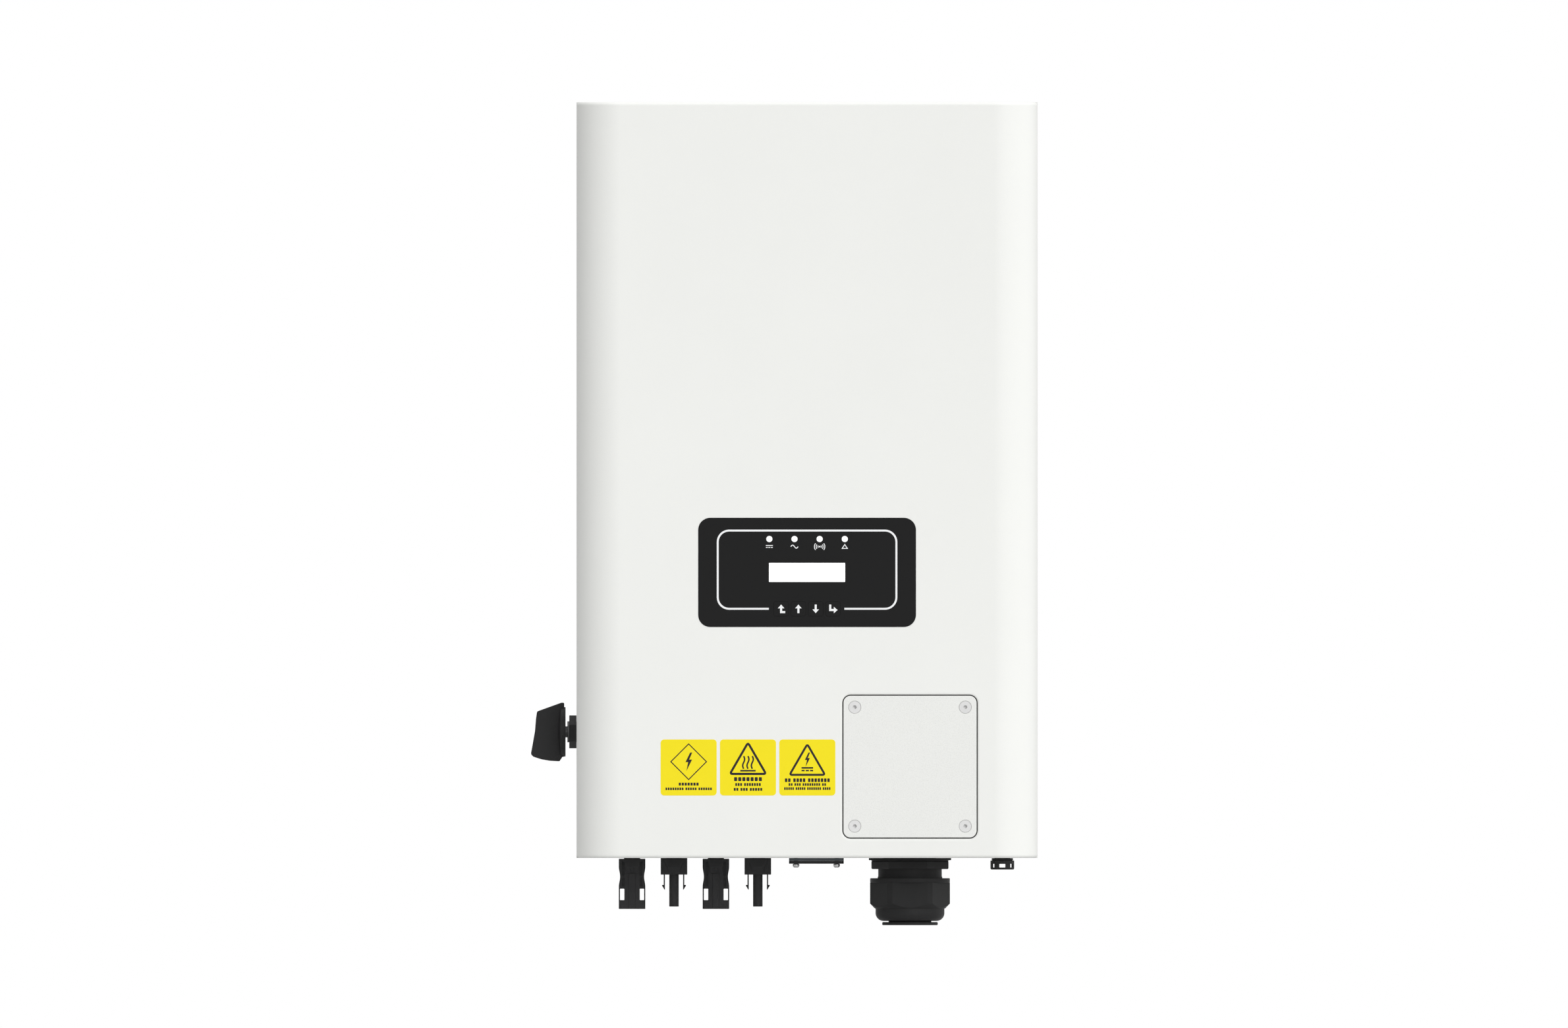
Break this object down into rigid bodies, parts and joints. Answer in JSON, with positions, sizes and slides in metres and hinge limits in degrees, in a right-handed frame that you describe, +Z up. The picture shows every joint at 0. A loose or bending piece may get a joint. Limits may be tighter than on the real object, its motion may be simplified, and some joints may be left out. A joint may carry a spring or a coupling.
{
  "type": "string inverter",
  "caption": "Wall-hung solar string inverter: round-edged cabinet with display, keys, wiring hatch, rotary disconnect, solar connectors, cable gland and rear heat-sink duct.",
  "frame": {"origin": "middle of the wall bracket's back face, on the wall", "axes": "+X to the right for a person facing the inverter, +Y into the wall, +Z up"},
  "size_m": [0.3869, 0.2273, 0.6283],
  "materials": {
    "white_powder_coat": "fine-grained matt powder coat, slightly warm white",
    "rubber": "black moulded rubber",
    "plug_plastic": "black moulded thermoplastic rubber",
    "steel_screws": "bright zinc-plated steel",
    "hatch_screws": "light satin stainless socket screws",
    "bare_aluminium": "bare extruded or cast aluminium",
    "zinc_steel": "zinc-plated sheet steel",
    "black_plastic": "black moulded plastic",
    "display_film": "near-black printed polyester film",
    "clear_plastic": "clear moulded acrylic",
    "dark_steel": "dark plated steel",
    "circuit_board": "green solder mask",
    "grey_plastic": "grey moulded plastic",
    "gland_plastic": "black polyamide with a soft sheen",
    "connector_plastic": "black glass-filled polyamide",
    "knob_plastic": "black moulded plastic with a fine texture"
  },
  "bodies": {
    "wall_bracket": {"wall_bracket": "zinc_steel"},
    "cabinet": {"front_cover": "white_powder_coat", "rear_chassis": "white_powder_coat", "wiring_hatch": "white_powder_coat", "duct_cover": "white_powder_coat", "cover_seal": "rubber", "hatch_seal": "rubber", "port_seal": "rubber", "gland_washer": "rubber", "cover_screw_left_upper": "steel_screws", "cover_screw_left_lower": "steel_screws", "cover_screw_right_upper": "steel_screws", "cover_screw_right_lower": "steel_screws", "hatch_screw_top_left": "hatch_screws", "hatch_screw_top_right": "hatch_screws", "hatch_screw_bottom_left": "hatch_screws", "hatch_screw_bottom_right": "hatch_screws", "port_screw_left": "steel_screws", "port_screw_right": "steel_screws", "heat_sink": "bare_aluminium", "boost_inductor_box": "bare_aluminium", "filter_inductor_box": "bare_aluminium", "hanger_rail": "zinc_steel", "fan_tray": "zinc_steel", "pv_retaining_plate": "zinc_steel", "fan_frame_left": "black_plastic", "fan_frame_right": "black_plastic", "display_panel": "display_film", "display_lens": "clear_plastic", "indicator_light_guide": "clear_plastic", "lcd_module": "dark_steel", "display_board": "circuit_board", "ac_terminal_block": "grey_plastic", "inverter_module": "grey_plastic", "dc_link_capacitor_left": "grey_plastic", "dc_link_capacitor_right": "grey_plastic", "grid_relay_block": "black_plastic", "power_board": "circuit_board", "control_board": "circuit_board", "gland_body": "gland_plastic", "gland_locknut": "gland_plastic", "pv_socket_1": "connector_plastic", "pv_socket_2": "connector_plastic", "pv_plug_1": "connector_plastic", "pv_plug_2": "connector_plastic", "port_plate": "dark_steel", "logger_socket": "black_plastic", "dc_switch_nut": "black_plastic", "dc_switch_body": "black_plastic"},
    "dc_switch": {"dc_switch_knob": "knob_plastic", "dc_switch_shaft": "zinc_steel"},
    "key_back": {"key_back": "display_film"},
    "key_up": {"key_up": "display_film"},
    "key_down": {"key_down": "display_film"},
    "key_enter": {"key_enter": "display_film"},
    "fan_rotor_left": {"fan_rotor_left": "black_plastic"},
    "fan_rotor_right": {"fan_rotor_right": "black_plastic"},
    "gland_insert": {"gland_insert": "rubber"},
    "gland_nut": {"gland_nut": "gland_plastic"},
    "gland_plug": {"gland_plug": "plug_plastic"}
  },
  "joints": [
    {"name": "cabinet_lift", "type": "slide", "parent": "wall_bracket", "child": "cabinet", "axis": [0, 0, 1], "range_m": [0, 0.012]},
    {"name": "dc_switch_turn", "type": "hinge", "parent": "cabinet", "child": "dc_switch", "pos_m": [-0.184, -0.127, -0.2807], "axis": [1, 0, 0], "range_deg": [0, 90]},
    {"name": "key_back_press", "type": "slide", "parent": "cabinet", "child": "key_back", "axis": [0, 1, 0], "range_m": [0, 0.0006], "stiffness_N_per_m": 600, "springref_m": -0.0012},
    {"name": "key_up_press", "type": "slide", "parent": "cabinet", "child": "key_up", "axis": [0, 1, 0], "range_m": [0, 0.0006], "stiffness_N_per_m": 600, "springref_m": -0.0012},
    {"name": "key_down_press", "type": "slide", "parent": "cabinet", "child": "key_down", "axis": [0, 1, 0], "range_m": [0, 0.0006], "stiffness_N_per_m": 600, "springref_m": -0.0012},
    {"name": "key_enter_press", "type": "slide", "parent": "cabinet", "child": "key_enter", "axis": [0, 1, 0], "range_m": [0, 0.0006], "stiffness_N_per_m": 600, "springref_m": -0.0012},
    {"name": "fan_left_spin", "type": "hinge", "parent": "cabinet", "child": "fan_rotor_left", "pos_m": [-0.075, -0.0485, -0.363], "axis": [0, 0, 1], "continuous": true},
    {"name": "fan_right_spin", "type": "hinge", "parent": "cabinet", "child": "fan_rotor_right", "pos_m": [0.075, -0.0485, -0.363], "axis": [0, 0, 1], "continuous": true},
    {"name": "gland_insert_slide", "type": "slide", "parent": "cabinet", "child": "gland_insert", "axis": [0, 0, -1], "range_m": [0, 0.00601]},
    {"name": "gland_nut_turn", "type": "hinge", "parent": "gland_insert", "child": "gland_nut", "pos_m": [0.0786, -0.127, -0.405], "axis": [0, 0, -1], "range_deg": [0, 1080]},
    {"name": "gland_plug_pull", "type": "slide", "parent": "gland_insert", "child": "gland_plug", "axis": [0, 0, -1], "range_m": [0, 0.025]}
  ],
  "couplings": [
    {"joint": "gland_insert_slide", "follows": "gland_nut_turn", "m_per_rad": 0.00031831}
  ]
}
